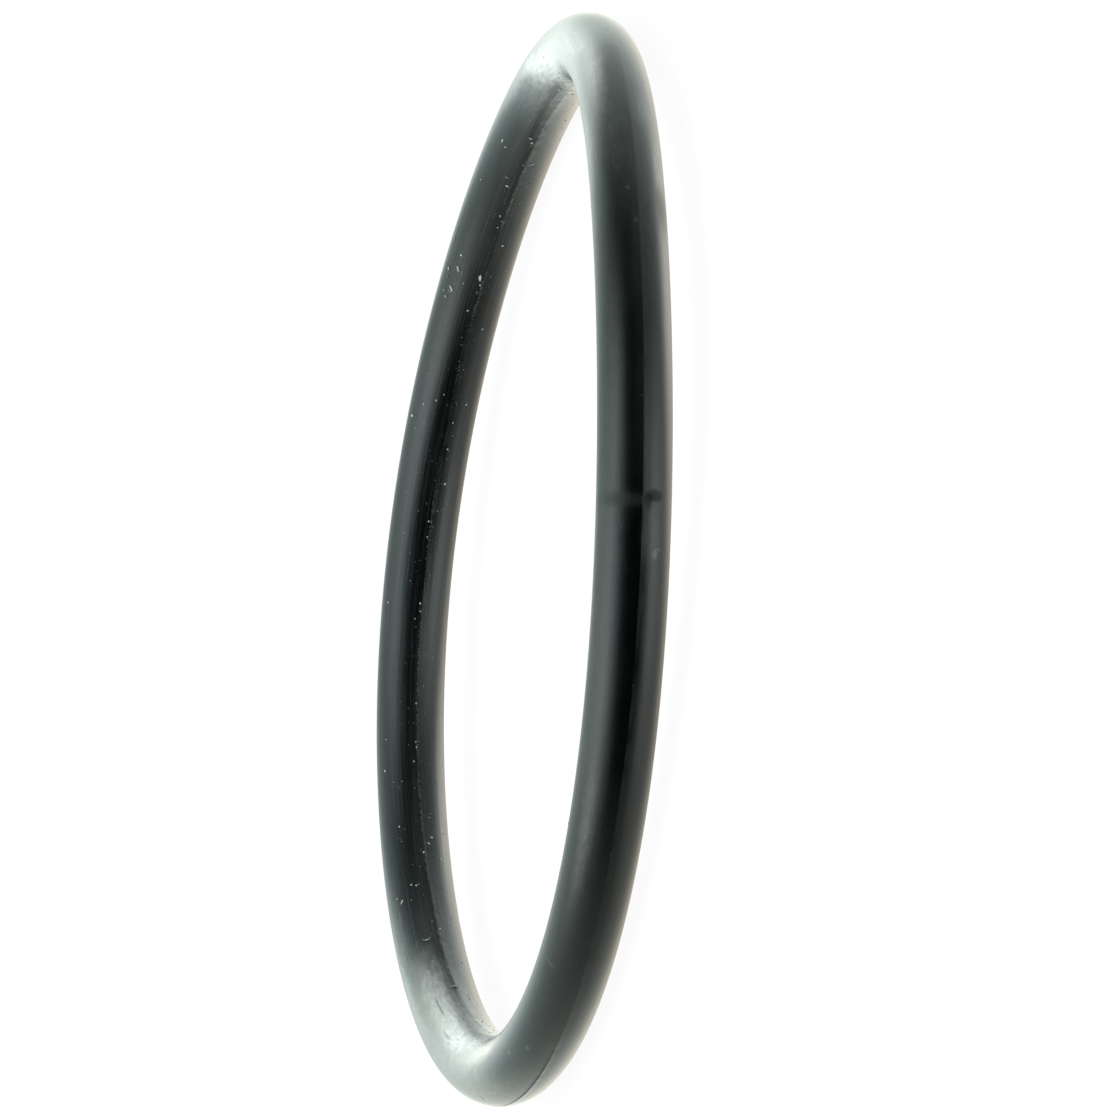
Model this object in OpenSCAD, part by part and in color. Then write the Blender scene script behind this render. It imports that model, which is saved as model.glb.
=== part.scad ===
// Rubber o-ring: one endless loop of round black rubber cord, moulded in two halves.
// The halves met on the cord's inside and outside, and each meeting leaves a low ridge with a narrow
// trimmed top. The loop has also kept a slight twist out of flat, so one pair of sides rides high.
// Sizes are in millimetres. +Z is the loop's axis, and the loop lies on the plane z = 0.

/* [Loop] */
// Inside diameter of the loop, before the mould line
inside_d = 47.22; // [20:0.01:120]
// Diameter of the round cord
cord_d = 3.53; // [1.6:0.01:6]

/* [Mould line] */
// Height of the line on the inside of the loop, above the round cord
inner_ridge = 0.03; // [0.01:0.005:0.08]
// Height of the line on the outside of the loop, above the round cord
outer_ridge = 0.02; // [0.01:0.005:0.08]
// Width of the trimmed flat on top of each line
ridge_flat = 0.06; // [0.02:0.01:0.12]

/* [Kept twist] */
// Rise of the two high sides above the mean level, and drop of the two low ones
saddle = 0.63; // [0:0.01:1.5]
// Direction of a high side, in degrees from +X
saddle_at = 113; // [0:1:180]
// Rise of the three crests of the smaller wave that the saddle carries
wave = 0.11; // [0:0.01:0.4]
// Direction of a crest of that wave, in degrees from +X
wave_at = 77; // [0:1:120]

/* [Hidden] */

black_rubber = [0.09, 0.095, 0.1];

// Cord sections round the loop, in a multiple of 4, and steps round each half of one section
loop_steps = 96;
half_steps = 16;

cord_r = cord_d / 2;
loop_r = inside_d / 2 + cord_r;

// Angle round the cord that one sloping side of a ridge covers: it leaves the round at a tangent
function ridge_side(ridge) = acos(cord_r / (cord_r + ridge));

// The trimmed top of a ridge, outside the loop (way = 1) or inside it (way = -1)
function ridge_top(way, ridge) =
    [for (end = [-1, 1]) way * [cord_r + ridge, end * ridge_flat / 2]];

// The round cord between two ridges
function round_half(from, to) =
    [for (i = [0:half_steps]) let (t = from + (to - from) * i / half_steps)
        cord_r * [cos(t), sin(t)]];

// Outline of the cord: x points away from the loop's axis and y along it
cord_outline = concat(
    ridge_top(1, outer_ridge),
    round_half(ridge_side(outer_ridge), 180 - ridge_side(inner_ridge)),
    ridge_top(-1, inner_ridge),
    round_half(180 + ridge_side(inner_ridge), 360 - ridge_side(outer_ridge))
);

// Level of the cord's centre line in direction a, and its slope there along the cord
function rise(a) = saddle * cos(2 * (a - saddle_at)) + wave * cos(3 * (a - wave_at));
function slope(a) =
    -(2 * saddle * sin(2 * (a - saddle_at)) + 3 * wave * sin(3 * (a - wave_at))) / loop_r;

// A point p of the outline, set square to the cord in direction a
function on_loop(a, p) =
    let (out = [cos(a), sin(a), 0], up = [slope(a) * sin(a), -slope(a) * cos(a), 1])
    (loop_r + p.x) * out + [0, 0, rise(a)] + p.y * up / norm(up);

skin_points = [for (k = [0:loop_steps - 1]) for (p = cord_outline) on_loop(k * 360 / loop_steps, p)];

// The loop is set down on its lowest point
lowest = min([for (p = skin_points) p.z]);

// Two triangles for each patch between section k and the next, which closes on the first section
points_round = len(cord_outline);
function corner(k, i) = (k % loop_steps) * points_round + i % points_round;
skin_faces = [
    for (k = [0:loop_steps - 1]) for (i = [0:points_round - 1])
        for (face = [
            [corner(k, i), corner(k, i + 1), corner(k + 1, i + 1)],
            [corner(k, i), corner(k + 1, i + 1), corner(k + 1, i)]
        ]) face
];

module o_ring() {
    color(black_rubber)
        translate([0, 0, -lowest])
            polyhedron(points = skin_points, faces = skin_faces, convexity = 4);
}

o_ring();
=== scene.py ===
# %% [markdown]
# # A black rubber o-ring
#
# The object is one endless loop of round rubber cord, about 54 mm across, lying on a white sheet.
# It was moulded in two halves, so a low line runs round its inside and its outside where the halves
# met. It has also kept a slight twist out of flat, so only its lowest side touches the sheet.
#
# The sizes come from the imported model. This script dresses it: a finer skin in the same form, a black
# rubber finish with dust and scuffs, painted highlights at its two ends, and the light of a small white tent.

# %% Load the imported model
import bpy
import bmesh
import random
from math import acos, atan2, cos, degrees, exp, pi, radians, sin, sqrt
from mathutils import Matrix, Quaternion, Vector, noise


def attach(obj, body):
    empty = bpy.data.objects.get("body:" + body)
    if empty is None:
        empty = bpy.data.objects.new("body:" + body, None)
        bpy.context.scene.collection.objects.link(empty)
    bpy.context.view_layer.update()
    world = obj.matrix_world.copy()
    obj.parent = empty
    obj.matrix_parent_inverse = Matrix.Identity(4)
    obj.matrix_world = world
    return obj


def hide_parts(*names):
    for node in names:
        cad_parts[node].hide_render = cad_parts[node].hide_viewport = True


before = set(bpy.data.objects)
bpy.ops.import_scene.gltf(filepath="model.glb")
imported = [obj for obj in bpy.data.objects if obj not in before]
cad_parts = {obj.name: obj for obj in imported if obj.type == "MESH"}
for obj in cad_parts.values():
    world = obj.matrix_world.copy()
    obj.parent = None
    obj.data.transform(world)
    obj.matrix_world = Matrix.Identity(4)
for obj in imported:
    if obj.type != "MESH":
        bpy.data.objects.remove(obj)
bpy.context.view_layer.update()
MM = 0.001

# %% [markdown]
# ## The sizes, as the model has them
#
# These are the named values of the CAD source, so the finer skin falls on the imported one. Angles round
# the loop are counted from +X, and angles round the cord from the outside of the loop over its top.

# %% Sizes of the loop and the cord, in millimetres and degrees
INSIDE_D = 47.22
CORD_D = 3.53
INNER_RIDGE = 0.03
OUTER_RIDGE = 0.02
RIDGE_FLAT = 0.06
SADDLE = 0.63
SADDLE_AT = 113
WAVE = 0.11
WAVE_AT = 77

CORD_R = CORD_D / 2
LOOP_R = INSIDE_D / 2 + CORD_R
MIDDLE_LEVEL = 2.501
print("cord", CORD_D, "mm thick on a loop of radius", round(LOOP_R, 3), "mm")


# %% [markdown]
# ## The line the cord follows
#
# A loop like this could be Blender's torus, but a torus is flat, and the real loop rides up at two
# sides. So the middle of the cord is a formula: a saddle with two high sides, and a smaller wave of
# three crests on it. Each section of the cord stands square to that line.

# %% The middle line of the cord
def rise(turn):
    """Height of the cord's middle line above its mean level, at an angle round the loop."""
    return SADDLE * cos(radians(2 * (turn - SADDLE_AT))) + WAVE * cos(radians(3 * (turn - WAVE_AT)))


def slope(turn):
    """Climb of the middle line per millimetre along the loop."""
    saddle_part = 2 * SADDLE * sin(radians(2 * (turn - SADDLE_AT)))
    wave_part = 3 * WAVE * sin(radians(3 * (turn - WAVE_AT)))
    return -(saddle_part + wave_part) / LOOP_R


def section_axes(turn):
    """The middle of the cord at this turn, and the section's outward and upward directions."""
    out = Vector((cos(radians(turn)), sin(radians(turn)), 0))
    climb = slope(turn)
    up = Vector((climb * out.y, -climb * out.x, 1)).normalized()
    middle = out * LOOP_R + Vector((0, 0, MIDDLE_LEVEL + rise(turn)))
    return middle, out, up


def on_cord(turn, around, lift):
    """A point at a height over the cord's skin, in metres, and the direction away from the cord."""
    middle, out, up = section_axes(turn)
    away = out * cos(radians(around)) + up * sin(radians(around))
    return (middle + away * (CORD_R + lift)) * MM, away


heights = [rise(turn) for turn in range(360)]
print("middle line from", round(min(heights), 3), "to", round(max(heights), 3), "mm about its mean")

# %% [markdown]
# ## The section of the cord
#
# Rubber flows a little way between the two halves of a mould. What is trimmed off leaves a low ridge:
# its sides leave the round at a tangent and its top is a narrow flat. That small change of direction
# is why light breaks off sharply along the line, so the ridge is real shape here, and no bump map.

# %% Points round one section
STEPS_PER_HALF = 48
SIDE_STEPS = (0.35, 0.7)
FLAT_CROWN = 0.004


def ridge_side(ridge):
    """Angle of the cord that one sloping side of a ridge covers."""
    return degrees(acos(CORD_R / (CORD_R + ridge)))


def ridge_points(facing, ridge):
    """One ridge, from its lower side to its upper side, as (x, y, part of the ridge's height)."""
    side = radians(ridge_side(ridge))
    foot_x, foot_y = CORD_R * cos(side), CORD_R * sin(side)
    top_x, top_y = CORD_R + ridge, RIDGE_FLAT / 2
    lower = [(foot_x + (top_x - foot_x) * t, -foot_y - (top_y - foot_y) * t, t) for t in SIDE_STEPS]
    flat = [(top_x, -top_y, 1.0), (top_x + FLAT_CROWN, 0.0, 1.0), (top_x, top_y, 1.0)]
    upper = [(x, -y, t) for x, y, t in reversed(lower)]
    return [(facing * x, facing * y, t) for x, y, t in lower + flat + upper]


def half_round(start, end):
    """The round cord between two ridges."""
    turns = [start + (end - start) * i / STEPS_PER_HALF for i in range(STEPS_PER_HALF + 1)]
    return [(CORD_R * cos(radians(a)), CORD_R * sin(radians(a)), 0.0) for a in turns]


OUTER_SIDE = ridge_side(OUTER_RIDGE)
INNER_SIDE = ridge_side(INNER_RIDGE)
section = ridge_points(1, OUTER_RIDGE) + half_round(OUTER_SIDE, 180 - INNER_SIDE)
section += ridge_points(-1, INNER_RIDGE) + half_round(180 + INNER_SIDE, 360 - OUTER_SIDE)
print("one section has", len(section), "points")

# %% [markdown]
# ## What making and use have done to the two lines
#
# No trimmed line is even. Its height wanders, and here and there a crumb of it has torn away. At one end
# of the ring the outer line is worn low, and at the other a thin flash was never trimmed. Sculpting this
# by hand would tie it to one mesh. Written as functions of the angle round the loop, and read from noise
# on a circle, it fits any number of sections and closes on itself.

# %% How the two lines wander
SLOW, TORN, QUICK = 9, 38, 75
USUAL_LEFT, SLOW_CHANGE, QUICK_CHANGE = 0.85, 0.30, 0.50
LEAST_LEFT, MOST_LEFT = 0.1, 1.3
TORN_ABOVE, TORN_LEAVES = 0.36, 0.35
SLOW_STRAY, QUICK_STRAY = 0.014, 0.012


def noise_place(turn, features, seed):
    """A place for noise that closes on itself round the loop."""
    a = radians(turn)
    return Vector((cos(a) * features, sin(a) * features, seed))


def ridge_wander(turn, seed):
    """How much of the ridge's height is left at this turn, and how far the line has strayed."""
    slow = noise_place(turn, SLOW, seed)
    quick = noise_place(turn, QUICK, seed + 5)
    left = USUAL_LEFT + SLOW_CHANGE * noise.noise(slow) + QUICK_CHANGE * noise.noise(quick)
    if noise.noise(noise_place(turn, TORN, seed + 9)) > TORN_ABOVE:
        left *= TORN_LEAVES
    stray = SLOW_STRAY * noise.noise(slow * 1.7) + QUICK_STRAY * noise.noise(quick * 1.3)
    return max(LEAST_LEFT, min(MOST_LEFT, left)), stray


print("a place on the noise's circle", tuple(round(c, 2) for c in noise_place(30, SLOW, 3.0)))

# %% Wear and flash on the outer line
WORN_AT, WORN_SPREAD, WORN_SHARE = 345.0, 30.0, 0.8
FLASH_AT, FLASH_REACH, FLASH_HEIGHT = 201.0, 14.0, 0.018
FLASH_FEATURES, FLASH_SEED = 50, 31.0
FLASH_EVEN, FLASH_UNEVEN = 0.8, 0.5


def angle_between(a, b):
    """Smallest difference of two angles in degrees."""
    return abs((a - b + 180) % 360 - 180)


def outer_line_left(turn):
    """Share of the outer line that wear has left at this turn."""
    return 1 - WORN_SHARE * exp(-(angle_between(turn, WORN_AT) / WORN_SPREAD) ** 2)


def flash_height(turn):
    """Height of the untrimmed flash on the outer line, in millimetres."""
    part = angle_between(turn, FLASH_AT) / FLASH_REACH
    if part >= 1:
        return 0.0
    ragged = FLASH_EVEN + FLASH_UNEVEN * noise.noise(noise_place(turn, FLASH_FEATURES, FLASH_SEED))
    return FLASH_HEIGHT * sqrt(1 - part * part) * ragged


print("flash", round(flash_height(FLASH_AT), 4), "mm high; wear leaves", round(outer_line_left(WORN_AT), 2))

# %% [markdown]
# ## Dents
#
# The cord has a few shallow dents and one nick across it. A dent that is only a bump in the finish keeps
# a straight outline, so these are real shape too: each is a soft hollow of its own length, width and
# depth, and a point of the skin sinks by all of them together.

# %% The dents and the nick
DENTS = [
    # turn, around, half length, half width, depth (all but the angles in millimetres)
    (178.0, 118.0, 0.16, 0.14, 0.060),
    (187.5, 36.0, 0.18, 0.14, 0.050),
    (277.0, 345.0, 0.45, 0.30, 0.020),
    (176.5, 96.0, 0.50, 0.30, 0.012),
    (189.0, 84.0, 0.35, 0.25, 0.014),
    (161.0, 128.0, 0.60, 0.22, 0.010),
    (8.0, 92.0, 0.55, 0.30, 0.012),
    (357.0, 70.0, 0.70, 0.26, 0.010),
    (335.0, 34.0, 0.45, 0.30, 0.008),
    (313.0, 300.0, 0.50, 0.25, 0.008),
    (276.0, 338.0, 0.60, 0.20, 0.008),
    (224.0, 58.0, 0.06, 0.30, 0.010),
    (140.0, 250.0, 0.50, 0.30, 0.010),
    (330.0, 130.0, 0.60, 0.30, 0.008),
]
DENT_ENDS_AT = 6


def dent_depth(turn, around):
    """Depth of the dents at one point of the skin."""
    depth = 0.0
    for at_turn, at_around, half_long, half_wide, deep in DENTS:
        along = radians(angle_between(turn, at_turn)) * LOOP_R / half_long
        across = radians(angle_between(around, at_around)) * CORD_R / half_wide
        far = along * along + across * across
        if far < DENT_ENDS_AT:
            depth += deep * exp(-far)
    return depth


print(len(DENTS), "dents, deepest", max(d[4] for d in DENTS), "mm")

# %% [markdown]
# ## Sweeping the section round the loop
#
# A bevelled curve would sweep the section too, but it gives no say over each point. Here every section
# is laid down point by point and joined to the next with quads. Two things are written on each point
# for the finish to use: where it is round the loop, and where it is round the cord, both as directions,
# so that nothing jumps where an angle passes from 360 back to 0.

# %% One section after wear
OUTER_SEED = 3.0
INNER_SEED = 21.0


def worn_section(turn):
    """The section's points at this turn, with the two lines as wear has left them."""
    outer_left, outer_stray = ridge_wander(turn, OUTER_SEED)
    outer_left *= outer_line_left(turn)
    inner_left, inner_stray = ridge_wander(turn, INNER_SEED)
    flash = flash_height(turn)
    points = []
    for x, y, part in section:
        left, stray = (outer_left, outer_stray) if x > 0 else (inner_left, inner_stray)
        if part > 0:
            full = sqrt(x * x + y * y)
            held = CORD_R + (full - CORD_R) * left
            if x > 0 and part == 1:
                held += flash
            x, y = x * held / full, y * held / full + stray * part
        points.append((x, y))
    return points


print("first point of the section at 0 degrees", tuple(round(c, 4) for c in worn_section(0)[0]))

# %% Build the skin of the ring
LOOP_STEPS = 800


def build_ring():
    """The whole skin as one closed mesh."""
    verts, loop_way, cord_way = [], [], []
    for k in range(LOOP_STEPS):
        turn = 360 * k / LOOP_STEPS
        middle, out, up = section_axes(turn)
        for x, y in worn_section(turn):
            reach = sqrt(x * x + y * y)
            sunk = (reach - dent_depth(turn, degrees(atan2(y, x)) % 360)) / reach
            verts.append((middle + (out * x + up * y) * sunk) * MM)
            loop_way.append((out.x, out.y, 0.0))
            cord_way.append((x / reach, y / reach, 0.0))
    per = len(section)
    faces = []
    for k in range(LOOP_STEPS):
        here, there = k * per, ((k + 1) % LOOP_STEPS) * per
        for i in range(per):
            j = (i + 1) % per
            faces.append((here + i, here + j, there + j, there + i))
    mesh = bpy.data.meshes.new("ring_skin")
    mesh.from_pydata(verts, [], faces)
    for name, values in (("loop_way", loop_way), ("cord_way", cord_way)):
        layer = mesh.attributes.new(name, "FLOAT_VECTOR", "POINT")
        layer.data.foreach_set("vector", [c for v in values for c in v])
    for face in mesh.polygons:
        face.use_smooth = True
    mesh.update()
    return mesh


ring = bpy.data.objects.new("ring_skin", build_ring())
bpy.context.scene.collection.objects.link(ring)
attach(ring, "root")
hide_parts("o_ring")
print("ring skin", len(ring.data.vertices), "points,", len(ring.data.polygons) * 2, "triangles")


# %% [markdown]
# ## Small helpers for building nodes
#
# Node trees written out one socket at a time are long. A few helpers keep them readable. The first five
# add a node, a math step, a step from one range to another, a mix of two colours and a plain noise. The
# others start and place a node group, start a material, and send a shader to the output.

# %% Node helpers
def add(tree, kind, inputs=None, **settings):
    """Add a node, set its properties, then fill or link its inputs."""
    node = tree.nodes.new(kind)
    for key, value in settings.items():
        setattr(node, key, value)
    for key, value in (inputs or {}).items():
        if isinstance(value, bpy.types.NodeSocket):
            tree.links.new(value, node.inputs[key])
        else:
            node.inputs[key].default_value = value
    return node


def calc(tree, operation, a, b=0.0, c=0.0, clamp=False):
    """One math step."""
    node = add(tree, "ShaderNodeMath", {0: a, 1: b, 2: c}, operation=operation, use_clamp=clamp)
    return node.outputs[0]


def ramp(tree, value, low, high, to_low, to_high, smooth=False):
    """A value carried from one range to another and held at its ends."""
    node = add(tree, "ShaderNodeMapRange",
               {"Value": value, "From Min": low, "From Max": high, "To Min": to_low, "To Max": to_high},
               interpolation_type="SMOOTHSTEP" if smooth else "LINEAR")
    return node.outputs["Result"]


def mixed(tree, factor, one, other):
    """One colour carried towards another."""
    node = add(tree, "ShaderNodeMix", {"Factor": factor, "A": one, "B": other}, data_type="RGBA")
    return node.outputs["Result"]


def soft_noise(tree, per_mm, detail, roughness=0.55):
    """Plain noise at a scale given per millimetre."""
    place = add(tree, "ShaderNodeTexCoord")
    node = add(tree, "ShaderNodeTexNoise", {
        "Vector": place.outputs["Object"], "Scale": per_mm / MM, "Detail": detail, "Roughness": roughness})
    return node.outputs["Fac"]


print("node helpers ready")

# %% Helpers for groups and materials
FLOAT, VECTOR, COLOR = "NodeSocketFloat", "NodeSocketVector", "NodeSocketColor"


def new_group(name, inputs, outputs):
    """A shader node group with (name, socket kind, start value) inputs and (name, kind) outputs."""
    group = bpy.data.node_groups.new(name, "ShaderNodeTree")
    for label, kind, value in inputs:
        socket = group.interface.new_socket(name=label, in_out="INPUT", socket_type=kind)
        if value is not None:
            socket.default_value = value
    for label, kind in outputs:
        group.interface.new_socket(name=label, in_out="OUTPUT", socket_type=kind)
    start = group.nodes.new("NodeGroupInput")
    end = group.nodes.new("NodeGroupOutput")
    return group, start.outputs, end.inputs


def use_group(tree, group, inputs):
    """Place a node group in a tree."""
    return add(tree, "ShaderNodeGroup", inputs, node_tree=group).outputs


def new_material(name):
    """A material with an empty node tree."""
    material = bpy.data.materials.new(name)
    material.use_nodes = True
    material.node_tree.nodes.clear()
    return material, material.node_tree


def show(tree, shader, output="ShaderNodeOutputMaterial"):
    """Send a shader to the output of its tree."""
    end = add(tree, output)
    tree.links.new(shader.outputs[0], end.inputs["Surface"])


print("group and material helpers ready")

# %% [markdown]
# ## Streaks along the cord
#
# Seen close, the skin is not evenly satin. The mould was turned on a lathe, and its fine rings are
# printed on the rubber as streaks that run along the cord. A plain noise has no direction. Feeding it
# the two written directions, the cord's one much larger than the loop's, draws it out along the loop,
# and four numbers instead of three let it close on itself without a seam. Less drawn out, the same
# noise gives the mottling of dust that was rubbed along the cord.

# %% Streak group
def drawn_out(tree, around, along, detail, offset):
    """Noise by the two written directions: about `around` and `along` features per radian of each."""
    cord = add(tree, "ShaderNodeAttribute", attribute_name="cord_way")
    loop = add(tree, "ShaderNodeAttribute", attribute_name="loop_way")
    cord_parts = add(tree, "ShaderNodeSeparateXYZ", {0: cord.outputs["Vector"]})
    loop_parts = add(tree, "ShaderNodeSeparateXYZ", {0: loop.outputs["Vector"]})
    x = calc(tree, "MULTIPLY_ADD", cord_parts.outputs[0], around, offset)
    y = calc(tree, "MULTIPLY", cord_parts.outputs[1], around)
    z = calc(tree, "MULTIPLY", loop_parts.outputs[0], along)
    w = calc(tree, "MULTIPLY", loop_parts.outputs[1], along)
    place = add(tree, "ShaderNodeCombineXYZ", {0: x, 1: y, 2: z})
    grain = add(
        tree, "ShaderNodeTexNoise",
        {"Vector": place.outputs[0], "W": w, "Scale": 1.0, "Detail": detail, "Roughness": 0.55},
        noise_dimensions="4D",
    )
    return grain.outputs["Fac"]


def make_streaks():
    """Noise that is drawn out along the loop: fine across the cord and long along it."""
    group, given, result = new_group(
        "drawn_out_noise",
        [("Around", FLOAT, 15.0), ("Along", FLOAT, 5.0), ("Detail", FLOAT, 3.0), ("Offset", FLOAT, 0.0)],
        [("Value", FLOAT)],
    )
    value = drawn_out(group, given["Around"], given["Along"], given["Detail"], given["Offset"])
    group.links.new(value, result["Value"])
    return group


streaks = make_streaks()
print("group", streaks.name)

# %% [markdown]
# ## Marks at a place
#
# Scuffs, smudges and chalky patches each sit at one place and have ragged, soft edges; at the ring's two
# ends the chalky patches are partly painted highlight. Painting them would need an image. This group
# measures how far a point is from the mark's place along the loop and round the cord, in millimetres, and
# roughens the edge with noise. One group serves every mark.

# %% Patch group
GRAIN_STRETCH = 2.5
RAGGED_REACH = 2.0


def gap_in_half_sizes(tree, way_name, place, radius, half_size):
    """How far a point is from the mark's middle one way, counted in the mark's own half sizes."""
    way = add(tree, "ShaderNodeAttribute", attribute_name=way_name)
    gap = add(tree, "ShaderNodeVectorMath", {0: way.outputs["Vector"], 1: place}, operation="DISTANCE")
    return calc(tree, "DIVIDE", calc(tree, "MULTIPLY", gap.outputs["Value"], radius), half_size)


def make_patch():
    """A mask that is 1 inside a ragged oval on the cord and 0 outside it."""
    tree, given, result = new_group(
        "patch_on_cord",
        [("Loop way", VECTOR, (1, 0, 0)), ("Cord way", VECTOR, (1, 0, 0)), ("Half length", FLOAT, 1.0),
         ("Half width", FLOAT, 0.5), ("Softness", FLOAT, 0.4), ("Ragged", FLOAT, 0.6),
         ("Grain", FLOAT, 4.0)],
        [("Mask", FLOAT)],
    )
    along = gap_in_half_sizes(tree, "loop_way", given["Loop way"], LOOP_R, given["Half length"])
    across = gap_in_half_sizes(tree, "cord_way", given["Cord way"], CORD_R, given["Half width"])
    far = calc(tree, "SQRT", calc(tree, "MULTIPLY_ADD", along, along,
                                  calc(tree, "MULTIPLY", across, across)))
    by_cord = calc(tree, "MULTIPLY", given["Grain"], CORD_R)
    by_loop = calc(tree, "MULTIPLY", given["Grain"], LOOP_R / GRAIN_STRETCH)
    grain = drawn_out(tree, by_cord, by_loop, detail=4.0, offset=11.0)
    ragged = calc(tree, "MULTIPLY", calc(tree, "SUBTRACT", grain, 0.5), given["Ragged"])
    edge = calc(tree, "MULTIPLY_ADD", ragged, RAGGED_REACH, far)
    outer = calc(tree, "ADD", 1.0, given["Softness"])
    inner = calc(tree, "SUBTRACT", 1.0, given["Softness"])
    tree.links.new(ramp(tree, edge, outer, inner, 0.0, 1.0, smooth=True), result["Mask"])
    return tree


patch = make_patch()
print("group", patch.name)


# %% Place marks in a tree
def mark(tree, turn, around, half_length, half_width, softness, ragged, grain):
    """The mask of one mark at a turn round the loop and an angle round the cord."""
    loop_way = (cos(radians(turn)), sin(radians(turn)), 0)
    cord_way = (cos(radians(around)), sin(radians(around)), 0)
    outputs = use_group(tree, patch, {
        "Loop way": loop_way, "Cord way": cord_way, "Half length": half_length, "Half width": half_width,
        "Softness": softness, "Ragged": ragged, "Grain": grain,
    })
    return outputs["Mask"]


def sum_of_marks(tree, marks):
    """Marks given as (strength, settings of one mark), added and held below 1."""
    total = None
    for strength, settings in marks:
        one = calc(tree, "MULTIPLY", mark(tree, *settings), strength)
        total = one if total is None else calc(tree, "ADD", total, one, clamp=True)
    return total


print("marks can be placed")

# %% [markdown]
# ## Faint specks
#
# Between the grains that are big enough to have a shape lie many that only show as faint pale points.
# A noise makes clouds and not points. Voronoi scatters one point in each cell, and a soft disc round
# some of those points, each of its own strength, reads as fine dust.

# %% Speck group
def make_specks():
    """A mask of small soft discs, some cells only, each of its own strength."""
    tree, given, result = new_group(
        "faint_specks",
        [("Per mm", FLOAT, 2.0), ("Size", FLOAT, 0.1), ("Share", FLOAT, 0.4)],
        [("Mask", FLOAT)],
    )
    place = add(tree, "ShaderNodeTexCoord")
    scale = calc(tree, "DIVIDE", given["Per mm"], MM)
    cells = add(tree, "ShaderNodeTexVoronoi", {"Vector": place.outputs["Object"], "Scale": scale})
    disc = ramp(tree, cells.outputs["Distance"], given["Size"], 0.0, 0.0, 1.0, smooth=True)
    chance = add(tree, "ShaderNodeSeparateColor", {0: cells.outputs["Color"]})
    taken = calc(tree, "LESS_THAN", chance.outputs[0], given["Share"])
    weight = calc(tree, "POWER", chance.outputs[1], 2.0)
    mask = calc(tree, "MULTIPLY", calc(tree, "MULTIPLY", disc, taken), weight)
    tree.links.new(mask, result["Mask"])
    return tree


specks = make_specks()
print("group", specks.name)

# %% [markdown]
# ## Where the marks lie
#
# Dust doesn't settle evenly. It is thick and chalky at the two ends that were handled, with a cream tone
# where something greasy held it, and faint as smudges on the long side. At the two ends the chalky and
# cream marks are also painted highlight: they lighten the cord where the light shines on it. Three thin
# scratches cut through the dust. Each mark is a row: how strong it is, then where it lies, its size and how
# soft and ragged it is.

# %% Chalky dust and painted highlight
CHALK_AND_HIGHLIGHT = [
    # strength, (turn, around, half length, half width, softness, ragged, grain per mm)
    (0.53, (5.0, 118.0, 2.6, 0.80, 0.70, 0.25, 2.5)),
    (0.28, (359.0, 141.0, 1.6, 0.60, 0.80, 0.1, 3.0)),
    (0.60, (2.0, 163.0, 1.6, 0.65, 0.90, 0.1, 2.0)),
    (0.20, (358.0, 111.0, 1.6, 0.70, 0.80, 0.3, 2.5)),
    (0.22, (10.0, 138.0, 3.6, 1.30, 0.90, 0.2, 1.5)),
    (0.45, (8.6, 104.0, 1.6, 0.46, 0.80, 0.2, 2.0)),
    (0.52, (13.0, 90.0, 1.3, 0.40, 0.80, 0.2, 2.0)),
    (0.22, (19.5, 93.0, 2.2, 0.42, 0.80, 0.3, 2.5)),
    (0.08, (353.0, 88.0, 3.4, 0.90, 0.80, 0.4, 2.5)),
    (0.20, (342.5, 62.0, 1.7, 0.45, 0.70, 0.7, 2.5)),
    (0.10, (345.5, 76.0, 1.5, 0.26, 0.50, 0.9, 4.0)),
    (0.10, (350.0, 64.0, 1.2, 0.30, 0.50, 0.9, 4.0)),
    (0.12, (343.0, 10.0, 2.2, 0.55, 0.60, 0.8, 2.0)),
    (0.60, (175.5, 129.0, 2.8, 0.50, 0.80, 0.3, 2.5)),
    (0.30, (176.5, 126.0, 1.0, 0.36, 0.80, 0.1, 3.0)),
    (0.42, (177.0, 150.0, 3.6, 0.33, 0.90, 0.1, 2.0)),
    (0.46, (185.0, 140.0, 1.8, 0.46, 0.80, 0.3, 2.0)),
    (0.24, (164.0, 140.0, 3.6, 0.55, 0.80, 0.3, 2.5)),
    (0.30, (166.0, 161.0, 3.8, 0.38, 0.90, 0.2, 2.0)),
    (0.24, (155.0, 146.0, 2.2, 0.60, 0.90, 0.3, 2.5)),
    (0.18, (162.0, 192.0, 2.4, 0.25, 0.60, 0.8, 3.0)),
    (0.14, (145.0, 94.0, 4.2, 0.60, 0.80, 0.5, 2.0)),
    (0.22, (155.0, 87.0, 3.4, 0.40, 0.80, 0.4, 2.5)),
    (0.22, (176.0, 198.0, 1.10, 0.04, 0.50, 0.5, 3.0)),
    (0.22, (178.0, 203.0, 0.90, 0.04, 0.50, 0.5, 3.0)),
    (0.18, (173.5, 207.0, 0.90, 0.04, 0.50, 0.5, 3.0)),
]
print(len(CHALK_AND_HIGHLIGHT), "patches of chalky dust")

# %% Cream dust and painted highlight, and smudges, in rows as above
CREAM_AND_HIGHLIGHT = [
    (0.18, (162.5, 112.0, 5.2, 1.00, 0.80, 0.5, 2.5)),
    (0.07, (178.0, 94.0, 3.0, 0.80, 0.80, 0.4, 2.5)),
    (0.10, (182.0, 107.0, 1.3, 0.30, 0.50, 0.9, 4.0)),
    (0.13, (186.0, 94.0, 1.7, 0.30, 0.80, 0.3, 2.5)),
    (0.54, (191.5, 112.0, 2.4, 0.50, 0.80, 0.3, 2.5)),
    (0.26, (197.5, 107.0, 1.6, 0.34, 0.80, 0.3, 2.5)),
    (0.20, (188.0, 50.0, 3.0, 0.90, 0.90, 0.3, 1.5)),
    (0.09, (194.5, 26.0, 3.4, 0.60, 0.90, 0.3, 1.5)),
    (0.045, (272.0, 76.0, 17.0, 0.95, 0.80, 0.5, 1.2)),
]
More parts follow.
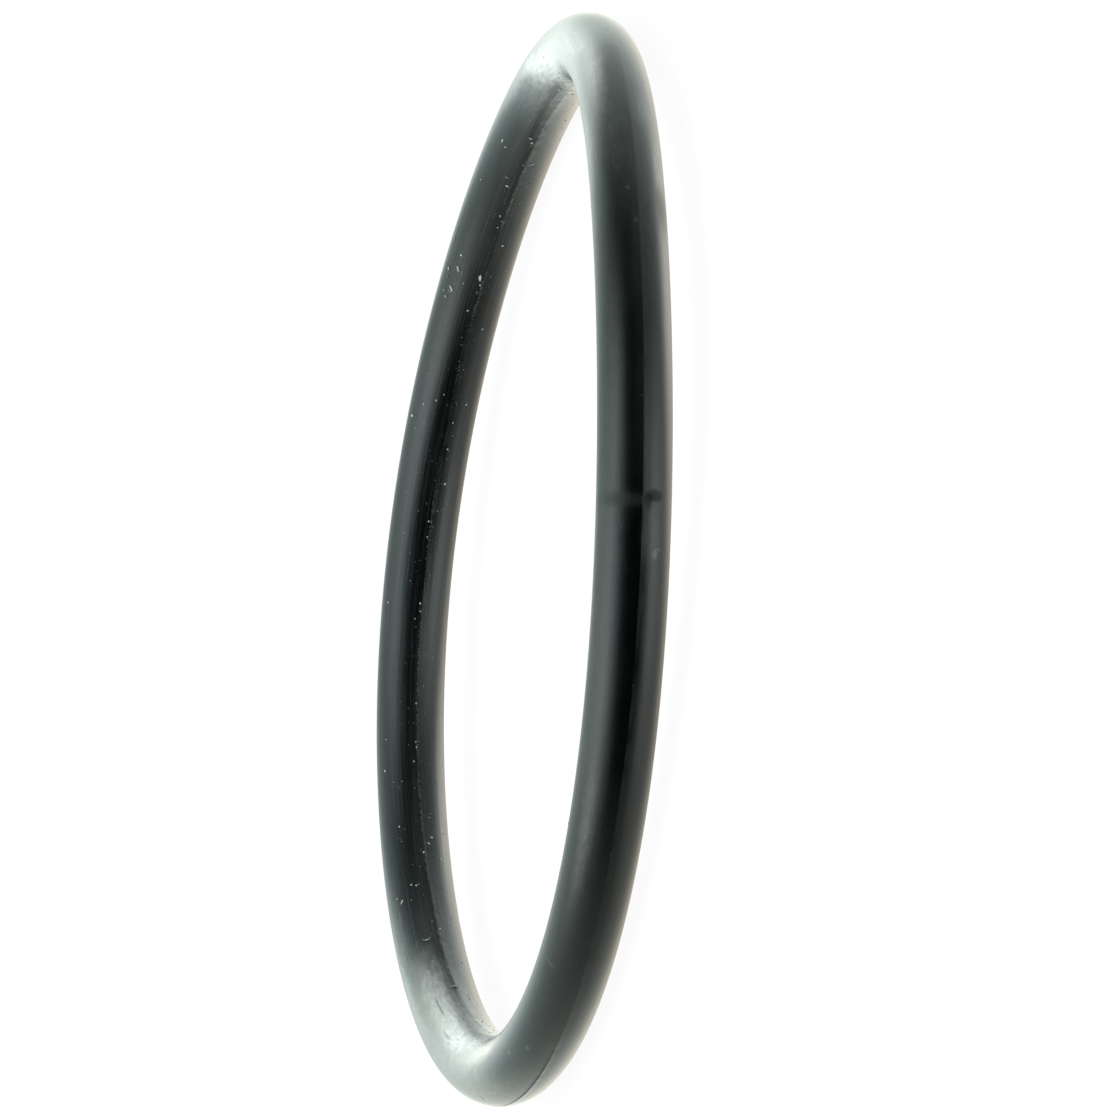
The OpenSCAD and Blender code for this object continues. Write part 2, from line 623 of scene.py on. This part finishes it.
SMUDGE = [
    (0.050, (311.0, 16.0, 0.11, 0.10, 0.6, 0.8, 5.0)),
    (0.035, (306.8, 6.0, 0.10, 0.09, 0.6, 0.8, 5.0)),
    (0.042, (321.0, 27.0, 3.60, 0.42, 0.8, 0.9, 1.5)),
    (0.020, (313.0, 354.0, 2.80, 0.70, 0.7, 0.9, 2.0)),
    (0.014, (303.0, 350.0, 2.60, 0.60, 0.7, 0.9, 2.0)),
    (0.030, (273.2, 345.0, 0.95, 0.45, 0.6, 0.4, 2.0)),
    (0.150, (271.4, 336.0, 0.18, 0.13, 0.6, 0.8, 5.0)),
    (0.090, (271.9, 330.0, 0.06, 0.18, 0.6, 0.6, 5.0)),
    (0.110, (315.6, 313.0, 1.80, 0.40, 0.40, 0.5, 3.0)),
    (0.090, (323.5, 338.0, 1.20, 0.36, 0.80, 0.7, 2.5)),
    (0.150, (320.0, 84.0, 2.60, 0.46, 0.80, 0.6, 2.5)),
    (0.130, (332.0, 45.0, 2.60, 0.38, 0.80, 0.7, 2.5)),
    (0.080, (242.0, 45.0, 3.00, 0.30, 0.80, 0.5, 2.0)),
    (0.035, (330.0, 300.0, 4.50, 0.60, 0.60, 0.9, 2.0)),
    (0.110, (209.0, 40.0, 0.18, 0.13, 0.6, 0.8, 5.0)),
    (0.110, (204.5, 64.0, 0.18, 0.13, 0.6, 0.8, 5.0)),
    (0.060, (224.0, 58.0, 0.07, 0.36, 0.6, 0.8, 5.0)),
]
print(len(CREAM_AND_HIGHLIGHT), "patches of cream dust and", len(SMUDGE), "smudges")

# %% Scratches and matt places
SCRATCHES = [
    # depth in millimetres, (turn, around, half length, half width, softness, ragged, grain per mm)
    (0.020, (162.3, 139.0, 1.15, 0.05, 0.4, 0.15, 3.0)),
    (0.016, (171.0, 123.0, 0.80, 0.06, 0.5, 0.50, 3.0)),
    (0.006, (173.5, 117.0, 0.40, 0.07, 0.5, 0.50, 3.0)),
]
MATT = [
    # rise of the roughness, then as above: the torn flash, a scuff across the cord, a dull spot, a smear
    (0.38, (201.0, 1.5, 5.4, 0.050, 0.50, 0.30, 4.0)),
    (0.22, (276.4, 352.0, 0.46, 0.22, 0.5, 0.5, 3.0)),
    (0.24, (277.2, 338.0, 0.24, 0.46, 0.5, 0.5, 3.0)),
    (0.10, (309.5, 317.0, 1.20, 0.55, 0.9, 0.5, 1.5)),
    (0.14, (276.7, 30.0, 0.32, 1.25, 0.7, 0.3, 2.0)),
]
print(len(SCRATCHES), "scratches and", len(MATT), "matt places")


# %% [markdown]
# ## Black rubber
#
# Rubber is black because of the soot in it, so almost no light comes back from inside it. What is seen
# is gloss: the tent mirrored in a satin skin. The streaks spread that mirror image across the cord far
# more than along it, which is what the shader's Anisotropic value is for, with its tangent turned
# across the cord. Several effects share a few noises, so those are made first and called by name.

# %% Noises and directions that the rubber uses
INNER_SIDE_FADE = (-0.15, -0.55)
INNER_LINE_FADE = (-0.9985, -0.9996)


def skin_noises(tree):
    """The noises of the skin by name, with the masks of its inner side and of its inner line."""
    def streak(around, along, detail, offset=0.0):
        settings = {"Around": around, "Along": along, "Detail": detail, "Offset": offset}
        return use_group(tree, streaks, settings)["Value"]

    cord = add(tree, "ShaderNodeAttribute", attribute_name="cord_way")
    facing = add(tree, "ShaderNodeSeparateXYZ", {0: cord.outputs["Vector"]})
    outward, upward = facing.outputs[0], facing.outputs[1]
    return {
        "fine streak": streak(16.0, 5.0, 3.0),
        "broad streak": streak(4.5, 2.5, 2.0, 30.0),
        "mottle": streak(9.0, 34.0, 4.0, 50.0),
        "hair": streak(34.0, 4.0, 3.0, 80.0),
        "beads": streak(20.0, 260.0, 2.0, 95.0),
        "stretches": streak(1.0, 7.0, 2.0, 7.0),
        "grain": soft_noise(tree, 9, 3.0, 0.6),
        "waves": soft_noise(tree, 0.9, 2.0),
        "cloud": soft_noise(tree, 0.35, 5.0, 0.65),
        "inner side": ramp(tree, outward, *INNER_SIDE_FADE, 0.0, 1.0),
        "inner line": ramp(tree, outward, *INNER_LINE_FADE, 0.0, 1.0),
        "upward": upward,
    }


print("the inner side's noises and dust fade in from", INNER_SIDE_FADE[0], "to", INNER_SIDE_FADE[1])

# %% [markdown]
# ## Dust on the rubber
#
# One noise would dust the whole ring alike. On the real one a thin bloom lightens the black, specks lie
# all over, hairlines of dust run along the inner side and beads of it sit on the inner line. Each is a
# mask of its own, and all are added to the marks before they reach the colour.

# %% Dust on the rubber
BLOOM_MOST = 0.008
DOTS_OUTSIDE_INSIDE = (0.05, 0.26)
HAIRLINES_MOST = 0.042
BEADS_LEAST_MOST = (0.03, 0.26)


def thin_dust(tree, skin):
    """A bloom, faint dots, hairlines on the inner side, and beads of dust along the inner line."""
    inner = skin["inner side"]
    bloom = ramp(tree, skin["cloud"], 0.45, 0.8, 0.0, BLOOM_MOST)
    dots = use_group(tree, specks, {"Per mm": 1.9, "Size": 0.15, "Share": 0.55})["Mask"]
    dots = calc(tree, "MULTIPLY", dots, ramp(tree, inner, 0.0, 1.0, *DOTS_OUTSIDE_INSIDE))
    hairlines = calc(tree, "MULTIPLY", inner, ramp(tree, skin["hair"], 0.48, 0.70, 0.0, HAIRLINES_MOST))
    beads = calc(tree, "MULTIPLY", ramp(tree, skin["beads"], 0.45, 0.70, 0.0, 1.0),
                 ramp(tree, skin["stretches"], 0.42, 0.62, *BEADS_LEAST_MOST))
    return bloom, dots, hairlines, calc(tree, "MULTIPLY", skin["inner line"], beads)


def dust_cream_and_highlight(tree, skin, scratch):
    """Chalky dust and cream, both partly painted highlight, and all the dust with them: each thinner where
    the mottling or a scratch thins it.
    """
    patchy = calc(tree, "MULTIPLY", ramp(tree, skin["mottle"], 0.34, 0.68, 0.66, 1.34),
                  ramp(tree, skin["grain"], 0.3, 0.7, 0.85, 1.15))
    patchy = calc(tree, "MULTIPLY", patchy, ramp(tree, scratch, 0.0, 0.010, 1.0, 0.15))
    chalk_with_highlight = calc(tree, "MULTIPLY", sum_of_marks(tree, CHALK_AND_HIGHLIGHT), patchy)
    # All the dust, with the chalky marks and their painted highlight in it
    dust = calc(tree, "MULTIPLY_ADD", sum_of_marks(tree, SMUDGE), patchy, chalk_with_highlight)
    for thin in thin_dust(tree, skin):
        dust = calc(tree, "ADD", dust, thin, clamp=True)
    mild = calc(tree, "MULTIPLY_ADD", patchy, 0.6, 0.4)
    # The cream marks: cream-toned dust that is partly painted highlight
    cream = calc(tree, "MULTIPLY", sum_of_marks(tree, CREAM_AND_HIGHLIGHT), mild, clamp=True)
    return chalk_with_highlight, dust, cream


print("dots of dust from", DOTS_OUTSIDE_INSIDE[0], "outside to", DOTS_OUTSIDE_INSIDE[1], "inside")

# %% [markdown]
# ## Gloss and fine relief
#
# The skin is smoother beside the two mould lines, satin elsewhere, and matt where a line was torn. Its
# unevenness is far finer than the mesh, so this part alone is a bump map, counted in millimetres.

# %% Gloss and fine relief of the rubber
SMOOTH_BY_LINE = 0.17
SATIN_ELSEWHERE = 0.31
STREAKS_VARY = 0.02
DUST_DULLS = 0.08
STREAKS_DEEP = (0.0034, 0.0090)
GRAIN_DEEP = (0.0012, 0.0022)
MOTTLE_DEEP = 0.0060
WAVES_DEEP = 0.0040


def skin_roughness(tree, skin, dust_and_highlight):
    """Smooth beside the mould lines, satin elsewhere, duller under the chalky and cream marks and where it
    was scuffed.
    """
    away = calc(tree, "MULTIPLY", skin["upward"], skin["upward"])
    satin = ramp(tree, away, 0.0, 1.0, SMOOTH_BY_LINE, SATIN_ELSEWHERE)
    change = ramp(tree, skin["broad streak"], 0.3, 0.7, -STREAKS_VARY, STREAKS_VARY)
    satin = calc(tree, "ADD", satin, change)
    satin = calc(tree, "MULTIPLY_ADD", dust_and_highlight, DUST_DULLS, satin)
    return calc(tree, "ADD", satin, sum_of_marks(tree, MATT), clamp=True)


def skin_relief(tree, skin, scratch):
    """Streaks and grain, deeper on the inner side, mottling and slow waves, with the scratches cut in."""
    inner = skin["inner side"]
    relief = calc(tree, "MULTIPLY", skin["fine streak"], ramp(tree, inner, 0.0, 1.0, *STREAKS_DEEP))
    relief = calc(tree, "MULTIPLY_ADD", skin["grain"], ramp(tree, inner, 0.0, 1.0, *GRAIN_DEEP), relief)
    relief = calc(tree, "MULTIPLY_ADD", skin["mottle"], MOTTLE_DEEP, relief)
    relief = calc(tree, "MULTIPLY_ADD", skin["waves"], WAVES_DEEP, relief)
    relief = calc(tree, "SUBTRACT", relief, scratch)
    bump = add(tree, "ShaderNodeBump", {"Strength": 1.0, "Distance": MM, "Height": relief})
    return bump.outputs["Normal"]


print("roughness from", SMOOTH_BY_LINE, "to", SATIN_ELSEWHERE)

# %% Make the rubber
SOOT = (0.0008, 0.0011, 0.0012, 1)
# Pale tones of the dust, which at the two ends of the ring also paint the highlight
DUST_AND_HIGHLIGHT_TONE = (0.85, 0.785, 0.79, 1)
CREAM_AND_HIGHLIGHT_TONE = (0.90, 0.78, 0.67, 1)
RUBBER_IOR = 1.6


def make_rubber():
    """Black satin rubber with streaks, bloom, specks, chalky dust and painted highlight, smudges and
    scratches.
    """
    material, tree = new_material("black_rubber")
    skin = skin_noises(tree)
    scratch = sum_of_marks(tree, SCRATCHES)
    chalk_with_highlight, dust, cream = dust_cream_and_highlight(tree, skin, scratch)
    across = add(tree, "ShaderNodeTangent", direction_type="RADIAL", axis="Z")
    # The base colour is soot, lightened by the dust and the cream marks; at the two ends this paints
    # highlight
    show(tree, add(tree, "ShaderNodeBsdfPrincipled", {
        "Base Color": mixed(tree, cream, mixed(tree, dust, SOOT, DUST_AND_HIGHLIGHT_TONE), CREAM_AND_HIGHLIGHT_TONE),
        "Roughness": skin_roughness(tree, skin, calc(tree, "ADD", chalk_with_highlight, cream)),
        "Normal": skin_relief(tree, skin, scratch),
        "Tangent": across.outputs["Tangent"],
        "IOR": RUBBER_IOR, "Anisotropic": 0.95, "Anisotropic Rotation": 0.25,
    }))
    return material


rubber = make_rubber()
ring.data.materials.append(rubber)
print("material", rubber.name, "with", len(rubber.node_tree.nodes), "nodes")

# %% [markdown]
# ## Lint and grains of dust
#
# Rubber holds lint. The photograph shows pale grains along the mould line, a small cluster on the far
# side, and a few short curled fibres. Painted specks would have no thickness, so these are small real
# shapes: grains are crumpled pebbles, and fibres are thin bent rods that lie on the skin. Where they lie
# was measured in the photograph with another script, and their sizes and directions were chosen by hand.

# %% Where the larger grains and the fibres lie
GRAINS = [
    # turn, around, length, width in millimetres, direction on the skin in degrees
    (30, 126, 0.36, 0.10, 5), (30.5, 136, 0.22, 0.08, -35), (26, 168, 0.24, 0.12, 60),
    (27, 173, 0.15, 0.12, 0), (8, 165, 0.24, 0.14, 90), (5, 164, 0.16, 0.12, 0), (32, 188, 0.36, 0.1, 110),
    (35.5, 158, 0.17, 0.1, 90), (37, 164, 0.2, 0.11, 90), (39, 115, 0.11, 0.08, 0),
    (42.5, 171, 0.1, 0.08, 0), (44.5, 174, 0.1, 0.09, 0), (47.5, 193, 0.14, 0.12, 0),
    (50, 97, 0.2, 0.07, 60), (51, 129, 0.22, 0.11, -40), (53, 131, 0.4, 0.15, 45), (54, 110, 0.2, 0.18, 0),
    (53, 173, 0.42, 0.14, 15), (54, 176, 0.12, 0.1, 0), (54.5, 148, 0.12, 0.06, 25),
    (56, 129, 0.42, 0.18, 50), (57, 114, 0.15, 0.13, 0), (57.5, 122, 0.15, 0.13, 0),
    (58, 168, 0.11, 0.1, 0), (60.5, 203, 0.12, 0.09, 0), (63, 180, 0.08, 0.07, 0), (70, 164, 0.09, 0.08, 0),
    (71, 153, 0.13, 0.1, 0), (71, 207, 0.15, 0.12, 0), (72, 132, 0.16, 0.14, 0), (74, 110, 0.19, 0.18, 0),
    (73.5, 189, 0.1, 0.09, 0), (77, 189, 0.12, 0.1, 0), (81.5, 195, 0.15, 0.13, 0),
    (86.5, 176, 0.1, 0.09, 0), (88.5, 177, 0.09, 0.08, 0), (97, 115, 0.13, 0.12, 0),
    (97, 177, 0.13, 0.11, 0), (98, 178, 0.1, 0.09, 0), (99, 170, 0.09, 0.08, 0), (110, 178, 0.11, 0.1, 0),
    (116, 178, 0.12, 0.1, 0), (118, 173, 0.12, 0.1, 0), (118.5, 119, 0.14, 0.12, 0),
    (127, 141, 0.1, 0.09, 0), (129, 195, 0.17, 0.15, 0), (130, 189, 0.14, 0.11, 40),
    (131.5, 178, 0.15, 0.13, 0), (132, 209, 0.15, 0.13, 0), (136.8, 158, 0.14, 0.12, 0),
    (136.5, 150, 0.14, 0.12, 0), (137.5, 119, 0.12, 0.1, 0), (138.5, 128, 0.36, 0.1, -40),
    (139, 146, 0.08, 0.07, 0), (139, 183, 0.09, 0.08, 0), (143.5, 173, 0.08, 0.07, 0),
    (143.5, 202, 0.11, 0.1, 0), (145, 183, 0.16, 0.13, 0),
]
FIBRES = [
    # turn, around, direction in degrees, length, bend in degrees per millimetre, thickness
    (146.6, 152, 0, 0.62, 330, 0.050), (158.4, 170, 95, 0.42, -120, 0.064),
    (54.8, 112, 35, 0.30, 60, 0.035), (56.6, 124, 120, 0.30, -90, 0.035), (53.0, 140, 10, 0.26, 80, 0.030),
    (23.0, 176, 70, 0.35, 140, 0.030),
]
print(len(GRAINS), "grains and", len(FIBRES), "fibres placed by hand")

# %% How one grain is made
GRAIN_TALL = 0.55
GRAIN_SITS = 0.3
CRUMPLED = (0.75, 1.25)


def cord_direction(turn):
    """The direction of the cord at this turn, the way that the turn grows."""
    out, up = section_axes(turn)[1:]
    return out.cross(up) * -1


def add_grain(bm, turn, around, size, chance):
    """A crumpled pebble that sits a part of its height in the skin; size is length, width, direction."""
    long, wide, heading = size
    tall = wide * GRAIN_TALL
    place, away = on_cord(turn, around, tall * GRAIN_SITS)
    ahead = Quaternion(away, radians(heading)) @ cord_direction(turn)
    side = away.cross(ahead)
    made = bmesh.ops.create_icosphere(bm, subdivisions=1, radius=0.5 * MM)
    for vert in made["verts"]:
        x, y, z = vert.co * chance.uniform(*CRUMPLED)
        vert.co = place + ahead * (x * long) + side * (y * wide) + away * (z * tall)


print("a grain is", GRAIN_TALL, "as tall as it is wide")

# %% How one fibre is made
FIBRE_SIDES = 6
FIBRE_STEPS = 20
FIBRE_LOW, FIBRE_ARCH = 0.4, 0.8
FIBRE_TIP = 0.45


def add_fibre(bm, turn, around, heading, length, bend, thick):
    """A thin rod that lies on the skin, bends as it goes, and is arched and thickest in its middle."""
    rings = []
    way = radians(heading)
    step = length / FIBRE_STEPS
    for i in range(FIBRE_STEPS + 1):
        lift = FIBRE_LOW + FIBRE_ARCH * sin(pi * i / FIBRE_STEPS)
        centre, away = on_cord(turn, around, thick * lift)
        along = cord_direction(turn)
        round_cord = away.cross(along) * -1
        side = (along * cos(way) + round_cord * sin(way)).cross(away)
        full = FIBRE_TIP + (1 - FIBRE_TIP) * sin(pi * min(1, (i + 0.5) / FIBRE_STEPS))
        angles = [2 * pi * s / FIBRE_SIDES for s in range(FIBRE_SIDES)]
        spokes = [(side * cos(a) + away * sin(a)) * (thick / 2 * full * MM) for a in angles]
        rings.append([bm.verts.new(centre + spoke) for spoke in spokes])
        turn += degrees(step * cos(way) / LOOP_R)
        around += degrees(step * sin(way) / CORD_R)
        way += radians(bend * step)
    for one, two in zip(rings, rings[1:]):
        for s in range(FIBRE_SIDES):
            t = (s + 1) % FIBRE_SIDES
            bm.faces.new((one[s], one[t], two[t], two[s]))
    bm.faces.new(list(reversed(rings[0])))
    bm.faces.new(rings[-1])


print("a fibre has", FIBRE_STEPS + 1, "rings of", FIBRE_SIDES, "points")

# %% Build the lint and the fine grains
FINE_GRAINS = 520
FINE_LEAST, FINE_MORE, FINE_LONGEST = 0.032, 0.048, 1.8
BY_LINE_SHARE, BY_LINE_SPREAD = 0.6, 14
INNER_HALF = (105, 225)


def placed_by_hand(bm, chance):
    """The larger grains and the fibres."""
    for turn, around, long, wide, heading in GRAINS:
        add_grain(bm, turn, around, (long, wide, heading), chance)
    for settings in FIBRES:
        add_fibre(bm, *settings)


def scattered(bm, chance):
    """Fine grains on the inner half of the cord, most of them by the inner line."""
    for _ in range(FINE_GRAINS):
        turn = chance.uniform(0, 360)
        by_line = chance.random() < BY_LINE_SHARE
        around = chance.gauss(180, BY_LINE_SPREAD) if by_line else chance.uniform(*INNER_HALF)
        wide = FINE_LEAST + FINE_MORE * chance.random() ** 3
        long, heading = wide * chance.uniform(1, FINE_LONGEST), chance.uniform(0, 180)
        add_grain(bm, turn, around, (long, wide, heading), chance)


def bits(name, fill, seed):
    """One piece made of many small bits that ride on the cord."""
    bm = bmesh.new()
    fill(bm, random.Random(seed))
    bmesh.ops.recalc_face_normals(bm, faces=bm.faces)
    mesh = bpy.data.meshes.new(name)
    bm.to_mesh(mesh)
    bm.free()
    piece = bpy.data.objects.new(name, mesh)
    bpy.context.scene.collection.objects.link(piece)
    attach(piece, "root")
    print(name, "has", len(mesh.polygons), "faces")
    return piece


lint = bits("lint", placed_by_hand, seed=8)
fine_grains = bits("fine_grains", scattered, seed=9)

# %% [markdown]
# ## The finish of lint and dust
#
# Lint is matt and scatters all the light that falls on it, so it needs no gloss of its own. What makes
# it look real is that no two grains are equally clean. A noise larger than a grain gives each its own
# tone, between a dull grey and a pale one, and the fine grains are duller than the lint.

# %% Make the finish of lint and dust
LINT_ROUGHNESS = 0.8


def make_lint(name, dull, pale):
    """Matt dust whose tone wanders between a dull and a pale grey."""
    material, tree = new_material(name)
    tone = ramp(tree, soft_noise(tree, 2.5, 3.0), 0.40, 0.68, 0.0, 1.0)
    show(tree, add(tree, "ShaderNodeBsdfPrincipled", {
        "Base Color": mixed(tree, tone, dull, pale), "Roughness": LINT_ROUGHNESS}))
    return material


lint.data.materials.append(make_lint("pale_lint", (0.46, 0.48, 0.47, 1), (0.86, 0.87, 0.84, 1)))
fine_grains.data.materials.append(make_lint("dull_dust", (0.09, 0.10, 0.10, 1), (0.70, 0.71, 0.68, 1)))
print("lint and fine grains finished")

# %% [markdown]
# ## Crumbs of flash
#
# Where the flash was trimmed, crumbs of rubber stay behind on the line. Each catches its own small
# light, so the line looks beaded. They are made as the grains are, smaller and along the two lines
# only. They are as black as the skin but torn, and so duller, and some of them hold dust.

# %% Crumbs on the two mould lines
CRUMBS = 520
CRUMB_LEAST, CRUMB_MORE, CRUMB_LONGEST = 0.030, 0.040, 2.5
CRUMB_SWING = 30
INNER_SHARE = 0.85
INNER_SPREAD, OUTER_SPREAD = 2.2, 1.4


def by_the_lines(bm, chance):
    """Small black crumbs scattered along the inner and the outer line."""
    for _ in range(CRUMBS):
        turn = chance.uniform(0, 360)
        inner = chance.random() < INNER_SHARE
        around = chance.gauss(180, INNER_SPREAD) if inner else chance.gauss(0, OUTER_SPREAD)
        wide = CRUMB_LEAST + CRUMB_MORE * chance.random() ** 2
        long, heading = wide * chance.uniform(1, CRUMB_LONGEST), chance.uniform(-CRUMB_SWING, CRUMB_SWING)
        add_grain(bm, turn, around, (long, wide, heading), chance)


crumbs = bits("line_crumbs", by_the_lines, seed=21)

# %% Make the crumbs' finish
TORN_SOOT = (0.0020, 0.0024, 0.0026, 1)
TORN_DUST = (0.80, 0.80, 0.76, 1)
TORN_DUST_MOST = 0.26
TORN_SATIN, TORN_MATT = 0.30, 0.60


def make_torn_rubber():
    """The same black rubber, torn and so duller, some of it dusty."""
    material, tree = new_material("torn_rubber")
    dusty = ramp(tree, soft_noise(tree, 1.3, 3.0), 0.45, 0.70, 0.0, TORN_DUST_MOST)
    rough = ramp(tree, soft_noise(tree, 2.0, 2.0), 0.3, 0.7, TORN_SATIN, TORN_MATT)
    show(tree, add(tree, "ShaderNodeBsdfPrincipled", {
        "Base Color": mixed(tree, dusty, TORN_SOOT, TORN_DUST), "Roughness": rough, "IOR": RUBBER_IOR}))
    return material


crumbs.data.materials.append(make_torn_rubber())
print("crumbs finished")

# %% [markdown]
# ## The sheet under the ring
#
# The ring lies on a wide white sheet, as in a product photograph. Where the camera looks, most of the
# sheet's brightness is given to it and the rest comes from the light, so it stays white and still takes
# the soft shadow where the cord comes near it. What the cord mirrors of the sheet is drawn with the
# tent in the next step, because a glossy sheet shows the tent and not one even white.

# %% The white sheet
SHEET_HALF = 1.2
SHEET_TONE = (0.86, 0.86, 0.86, 1)
GIVEN_SHARE, GIVEN_STRENGTH = 0.90, 1.05

sheet_mesh = bpy.data.meshes.new("sheet")
corners = [(-SHEET_HALF, -SHEET_HALF, 0), (SHEET_HALF, -SHEET_HALF, 0),
           (SHEET_HALF, SHEET_HALF, 0), (-SHEET_HALF, SHEET_HALF, 0)]
sheet_mesh.from_pydata(corners, [], [(0, 1, 2, 3)])
sheet = bpy.data.objects.new("sheet", sheet_mesh)
bpy.context.scene.collection.objects.link(sheet)
sheet.visible_glossy = False


def make_sheet():
    """White for the camera, and ready to take a soft shadow."""
    material, tree = new_material("white_sheet")
    seen = add(tree, "ShaderNodeLightPath")
    looked_at = calc(tree, "MAXIMUM", seen.outputs["Is Camera Ray"], seen.outputs["Is Transmission Ray"])
    looked_at = calc(tree, "MAXIMUM", looked_at, seen.outputs["Is Glossy Ray"])
    share = calc(tree, "MULTIPLY", looked_at, GIVEN_SHARE)
    paper = add(tree, "ShaderNodeBsdfDiffuse", {"Color": SHEET_TONE})
    white = add(tree, "ShaderNodeEmission", {"Color": (1, 1, 1, 1), "Strength": GIVEN_STRENGTH})
    show(tree, add(tree, "ShaderNodeMixShader", {0: share, 1: paper.outputs[0], 2: white.outputs[0]}))
    return material


sheet_mesh.materials.append(make_sheet())
print("sheet", 2 * SHEET_HALF, "m wide")

# %% [markdown]
# ## The light of a small tent
#
# A black glossy thing shows nothing but its surroundings, so the light decides what it looks like. The
# reflections read as a small white tent: a large soft light overhead, more light low behind the ring,
# the white sheet below, and a dark opening where the camera looks in. Each could be a lamp. Drawn into
# the world as soft spots by direction they cost no noise and keep their place from every side.
#
# Below the horizon the same world holds what the cord would see in the glossy sheet.
#
# The numbers of the spots and of the opening weren't chosen by hand. A least-squares fit made them outside
# this script, from shades along the cord in the photograph, and then the first spot was raised by a tenth.
# As an example of code, lights placed by hand would be better.

# %% Soft spot group
def make_soft_spot():
    """Light that is brightest in one direction and fades softly away from it."""
    tree, given, result = new_group(
        "soft_spot",
        [("Direction", VECTOR, None), ("Toward", VECTOR, (0, 0, 1)), ("Sharpness", FLOAT, 8.0),
         ("Colour", COLOR, (1, 1, 1, 1)), ("So far", COLOR, (0, 0, 0, 1))],
        [("Light", COLOR)],
    )
    close = add(tree, "ShaderNodeVectorMath", {0: given["Direction"], 1: given["Toward"]},
                operation="DOT_PRODUCT")
    short_of_it = calc(tree, "SUBTRACT", close.outputs["Value"], 1.0)
    fall = calc(tree, "EXPONENT", calc(tree, "MULTIPLY", short_of_it, given["Sharpness"]))
    glow = add(tree, "ShaderNodeVectorMath", {0: given["Colour"], "Scale": fall}, operation="SCALE")
    total = add(tree, "ShaderNodeVectorMath", {0: glow.outputs["Vector"], 1: given["So far"]},
                operation="ADD")
    tree.links.new(total.outputs["Vector"], result["Light"])
    return tree


soft_spot = make_soft_spot()
print("group", soft_spot.name)

# %% Where the tent is bright and where it is open
TENT_DARK = (0.0026, 0.0030, 0.0050, 1)
TENT_SPOTS = [
    # where it is, azimuth from the camera's side towards +X, elevation, sharpness, colour
    ("overhead", -70.5, 72.2, 10.0, (2.31, 2.62, 2.52)),
    ("overhead_right", 59.8, 69.3, 20.4, (1.51, 1.73, 1.61)),
    ("roof_in_front", 4.8, 69.9, 7.3, (0.03, 0.12, 0.21)),
    ("behind_right", 150.8, 20.0, 32.4, (2.37, 2.52, 2.33)),
    ("behind_low", 176.9, 9.6, 42.0, (1.48, 1.52, 1.45)),
    ("back_roof", 174.1, 33.3, 4.5, (0.69, 0.97, 0.96)),
    ("left_side", -109.4, 17.7, 2.8, (0.46, 0.52, 0.47)),
    ("sheet_in_front", 5.3, -51.2, 6.6, (1.68, 1.86, 1.76)),
    ("sheet_right", 130.6, -27.3, 3.5, (1.10, 1.27, 1.22)),
    ("sheet_left", -92.3, -53.8, 9.0, (0.42, 0.43, 0.39)),
    ("sheet_behind", -179.0, -36.6, 8.6, (1.30, 1.02, 0.76)),
    ("sheet_behind_right", 143.7, -57.2, 35.1, (2.77, 2.70, 2.40)),
    ("sheet_behind_left", -139.7, -24.2, 6.7, (0.66, 0.73, 0.67)),
]
OPENING = (-15.5, -0.2)
OPENING_DARK_TO = 23.0
OPENING_ENDS_AT = 54.1
print(len(TENT_SPOTS), "soft spots in the tent")


# %% Make the tent
def toward(azimuth, elevation):
    """A direction from its azimuth, counted from -Y towards +X, and its elevation."""
    a, e = radians(azimuth), radians(elevation)
    return (sin(a) * cos(e), -cos(a) * cos(e), sin(e))


def make_tent():
    """The world: the tent for the object, plain white for the camera."""
    world = bpy.data.worlds.new("tent")
    world.use_nodes = True
    tree = world.node_tree
    tree.nodes.clear()
    looking = add(tree, "ShaderNodeTexCoord").outputs["Generated"]
    light = TENT_DARK
    for _, azimuth, elevation, sharpness, colour in TENT_SPOTS:
        light = use_group(tree, soft_spot, {
            "Direction": looking, "Toward": toward(azimuth, elevation),
            "Sharpness": sharpness, "Colour": colour + (1,), "So far": light,
        })["Light"]
    close = add(tree, "ShaderNodeVectorMath", {0: looking, 1: toward(*OPENING)}, operation="DOT_PRODUCT")
    ends, dark = cos(radians(OPENING_ENDS_AT)), cos(radians(OPENING_DARK_TO))
    cloth = ramp(tree, close.outputs["Value"], ends, dark, 1.0, 0.0, smooth=True)
    light = add(tree, "ShaderNodeVectorMath", {0: light, "Scale": cloth}, operation="SCALE").outputs["Vector"]
    seen = add(tree, "ShaderNodeLightPath")
    plain = calc(tree, "MAXIMUM", seen.outputs["Is Camera Ray"], seen.outputs["Is Transmission Ray"])
    tent = add(tree, "ShaderNodeBackground", {"Color": light, "Strength": 1.0})
    white = add(tree, "ShaderNodeBackground", {"Color": (1, 1, 1, 1), "Strength": 1.0})
    both = add(tree, "ShaderNodeMixShader", {0: plain, 1: tent.outputs[0], 2: white.outputs[0]})
    show(tree, both, "ShaderNodeOutputWorld")
    return world


scene = bpy.context.scene
scene.world = make_tent()
scene.view_settings.view_transform = "Standard"
print("world", scene.world.name)

# %% [markdown]
# ## The camera
#
# The picture was taken from 0.39 m away with a long lens, low over the sheet, and turned on its side,
# so the ring seems to stand upright in it. The camera is placed by the point it looks at and by how far
# it is rolled, which is easier to follow than three angles.

# %% Place the camera
CAMERA_AT = Vector((0.09, -382.89, 81.90)) * MM
LOOKS_AT = Vector((0.09, 0.0, 0.946)) * MM
ROLL = -84.93
LENS = 254.24
SENSOR = 36
NEAREST_SEEN = 0.01

camera_data = bpy.data.cameras.new("camera")
camera_data.lens = LENS
camera_data.sensor_width = SENSOR
camera_data.clip_start = NEAREST_SEEN
camera = bpy.data.objects.new("camera", camera_data)
scene.collection.objects.link(camera)
camera.location = CAMERA_AT
level = (LOOKS_AT - CAMERA_AT).to_track_quat("-Z", "Y")
camera.rotation_mode = "QUATERNION"
camera.rotation_quaternion = level @ Quaternion((0, 0, 1), radians(ROLL))
scene.camera = camera
print("camera", round((LOOKS_AT - CAMERA_AT).length, 4), "m from the point it looks at")
